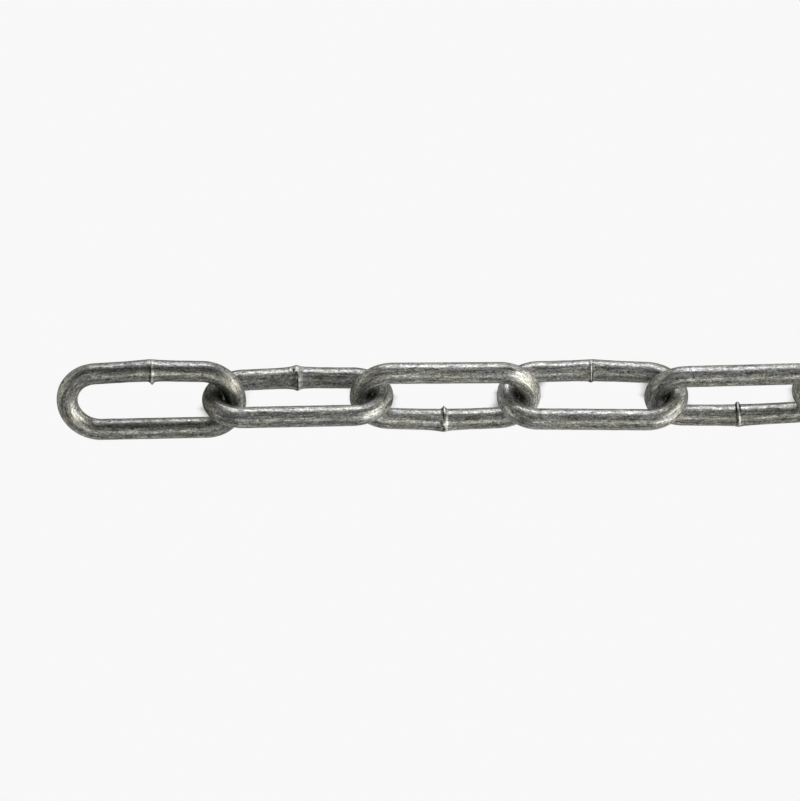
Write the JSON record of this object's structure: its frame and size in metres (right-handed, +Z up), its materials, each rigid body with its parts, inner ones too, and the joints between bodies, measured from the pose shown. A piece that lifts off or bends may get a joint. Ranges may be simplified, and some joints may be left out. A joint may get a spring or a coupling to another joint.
{
  "type": "length of steel chain",
  "caption": "Length of long-link butt-welded steel chain, galvanised, lying straight on a floor; each link hangs in the next and its end links take a shackle or hook.",
  "frame": {"origin": "on the floor under the middle of the chain's box", "axes": "+X along the chain, towards link_24; +Y across it; +Z up"},
  "size_m": [1.01, 0.0234, 0.0223],
  "materials": {
    "galvanised_steel": "hot-dip zinc, dull grey and finely mottled, with bare weld flash"
  },
  "bodies": {
    "link_01": {"link_01": "galvanised_steel"},
    "link_02": {"link_02": "galvanised_steel"},
    "link_03": {"link_03": "galvanised_steel"},
    "link_04": {"link_04": "galvanised_steel"},
    "link_05": {"link_05": "galvanised_steel"},
    "link_06": {"link_06": "galvanised_steel"},
    "link_07": {"link_07": "galvanised_steel"},
    "link_08": {"link_08": "galvanised_steel"},
    "link_09": {"link_09": "galvanised_steel"},
    "link_10": {"link_10": "galvanised_steel"},
    "link_11": {"link_11": "galvanised_steel"},
    "link_12": {"link_12": "galvanised_steel"},
    "link_13": {"link_13": "galvanised_steel"},
    "link_14": {"link_14": "galvanised_steel"},
    "link_15": {"link_15": "galvanised_steel"},
    "link_16": {"link_16": "galvanised_steel"},
    "link_17": {"link_17": "galvanised_steel"},
    "link_18": {"link_18": "galvanised_steel"},
    "link_19": {"link_19": "galvanised_steel"},
    "link_20": {"link_20": "galvanised_steel"},
    "link_21": {"link_21": "galvanised_steel"},
    "link_22": {"link_22": "galvanised_steel"},
    "link_23": {"link_23": "galvanised_steel"},
    "link_24": {"link_24": "galvanised_steel"}
  },
  "joints": [
    {"name": "link_02_hinge", "type": "hinge", "parent": "link_01", "child": "link_02", "pos_m": [-0.4543, 0.00004, 0.0114], "axis": [-0.0669, 0.8734, 0.4823], "range_deg": [-135, 135]},
    {"name": "link_03_hinge", "type": "hinge", "parent": "link_02", "child": "link_03", "pos_m": [-0.4127, 0.00084, 0.0116], "axis": [0.0074, -0.5878, 0.809], "range_deg": [-135, 135]},
    {"name": "link_04_hinge", "type": "hinge", "parent": "link_03", "child": "link_04", "pos_m": [-0.37116, 0.00109, 0.0095], "axis": [-0.0314, -0.7073, -0.7062], "range_deg": [-135, 135]},
    {"name": "link_05_hinge", "type": "hinge", "parent": "link_04", "child": "link_05", "pos_m": [-0.32959, 0.00079, 0.011], "axis": [0.0295, 0.743, -0.6687], "range_deg": [-135, 135]},
    {"name": "link_06_hinge", "type": "hinge", "parent": "link_05", "child": "link_06", "pos_m": [-0.28801, 0.00184, 0.0119], "axis": [-0.0325, 0.6012, 0.7984], "range_deg": [-135, 135]},
    {"name": "link_07_hinge", "type": "hinge", "parent": "link_06", "child": "link_07", "pos_m": [-0.24645, 0.00114, 0.01021], "axis": [0.0212, -0.6237, 0.7814], "range_deg": [-135, 135]},
    {"name": "link_08_hinge", "type": "hinge", "parent": "link_07", "child": "link_08", "pos_m": [-0.20485, 0.0008, 0.01075], "axis": [0.0033, -0.7093, -0.7049], "range_deg": [-135, 135]},
    {"name": "link_09_hinge", "type": "hinge", "parent": "link_08", "child": "link_09", "pos_m": [-0.16326, 0.00022, 0.0103], "axis": [0.0019, 0.6968, -0.7172], "range_deg": [-135, 135]},
    {"name": "link_10_hinge", "type": "hinge", "parent": "link_09", "child": "link_10", "pos_m": [-0.12166, 0.00026, 0.01014], "axis": [0.0021, 0.7299, 0.6836], "range_deg": [-135, 135]},
    {"name": "link_11_hinge", "type": "hinge", "parent": "link_10", "child": "link_11", "pos_m": [-0.08007, 0.00085, 0.01072], "axis": [-0.0026, -0.604, 0.797], "range_deg": [-135, 135]},
    {"name": "link_12_hinge", "type": "hinge", "parent": "link_11", "child": "link_12", "pos_m": [-0.0385, 0.00113, 0.00926], "axis": [-0.021, -0.6828, -0.7303], "range_deg": [-135, 135]},
    {"name": "link_13_hinge", "type": "hinge", "parent": "link_12", "child": "link_13", "pos_m": [0.0031, 0.00069, 0.00926], "axis": [0.0075, 0.7071, -0.7071], "range_deg": [-135, 135]},
    {"name": "link_14_hinge", "type": "hinge", "parent": "link_13", "child": "link_14", "pos_m": [0.04467, 0.00017, 0.01067], "axis": [-0.015, 0.7089, 0.7051], "range_deg": [-135, 135]},
    {"name": "link_15_hinge", "type": "hinge", "parent": "link_14", "child": "link_15", "pos_m": [0.08627, 0.00034, 0.0105], "axis": [0.0056, -0.5473, 0.8369], "range_deg": [-135, 135]},
    {"name": "link_16_hinge", "type": "hinge", "parent": "link_15", "child": "link_16", "pos_m": [0.12787, 0.00094, 0.01005], "axis": [0.0032, -0.7223, -0.6915], "range_deg": [-135, 135]},
    {"name": "link_17_hinge", "type": "hinge", "parent": "link_16", "child": "link_17", "pos_m": [0.16946, 0.0011, 0.01059], "axis": [0.0061, 0.7249, -0.6888], "range_deg": [-135, 135]},
    {"name": "link_18_hinge", "type": "hinge", "parent": "link_17", "child": "link_18", "pos_m": [0.21106, 0.00059, 0.01059], "axis": [0.0088, 0.6933, 0.7206], "range_deg": [-135, 135]},
    {"name": "link_19_hinge", "type": "hinge", "parent": "link_18", "child": "link_19", "pos_m": [0.25266, 0.00015, 0.01005], "axis": [0.0013, -0.7172, 0.6968], "range_deg": [-135, 135]},
    {"name": "link_20_hinge", "type": "hinge", "parent": "link_19", "child": "link_20", "pos_m": [0.29425, 0.00043, 0.0105], "axis": [0.0124, -0.7286, -0.6849], "range_deg": [-135, 135]},
    {"name": "link_21_hinge", "type": "hinge", "parent": "link_20", "child": "link_21", "pos_m": [0.33585, 0.00102, 0.01066], "axis": [-0.0072, 0.6954, -0.7186], "range_deg": [-135, 135]},
    {"name": "link_22_hinge", "type": "hinge", "parent": "link_21", "child": "link_22", "pos_m": [0.37744, 0.00105, 0.01008], "axis": [0.0093, 0.7116, 0.7025], "range_deg": [-135, 135]},
    {"name": "link_23_hinge", "type": "hinge", "parent": "link_22", "child": "link_23", "pos_m": [0.41904, 0.00048, 0.01041], "axis": [-0.0154, -0.731, 0.6822], "range_deg": [-135, 135]},
    {"name": "link_24_hinge", "type": "hinge", "parent": "link_23", "child": "link_24", "pos_m": [0.46064, 0.00014, 0.01072], "axis": [-0.0004, -0.699, -0.7151], "range_deg": [-135, 135]}
  ]
}
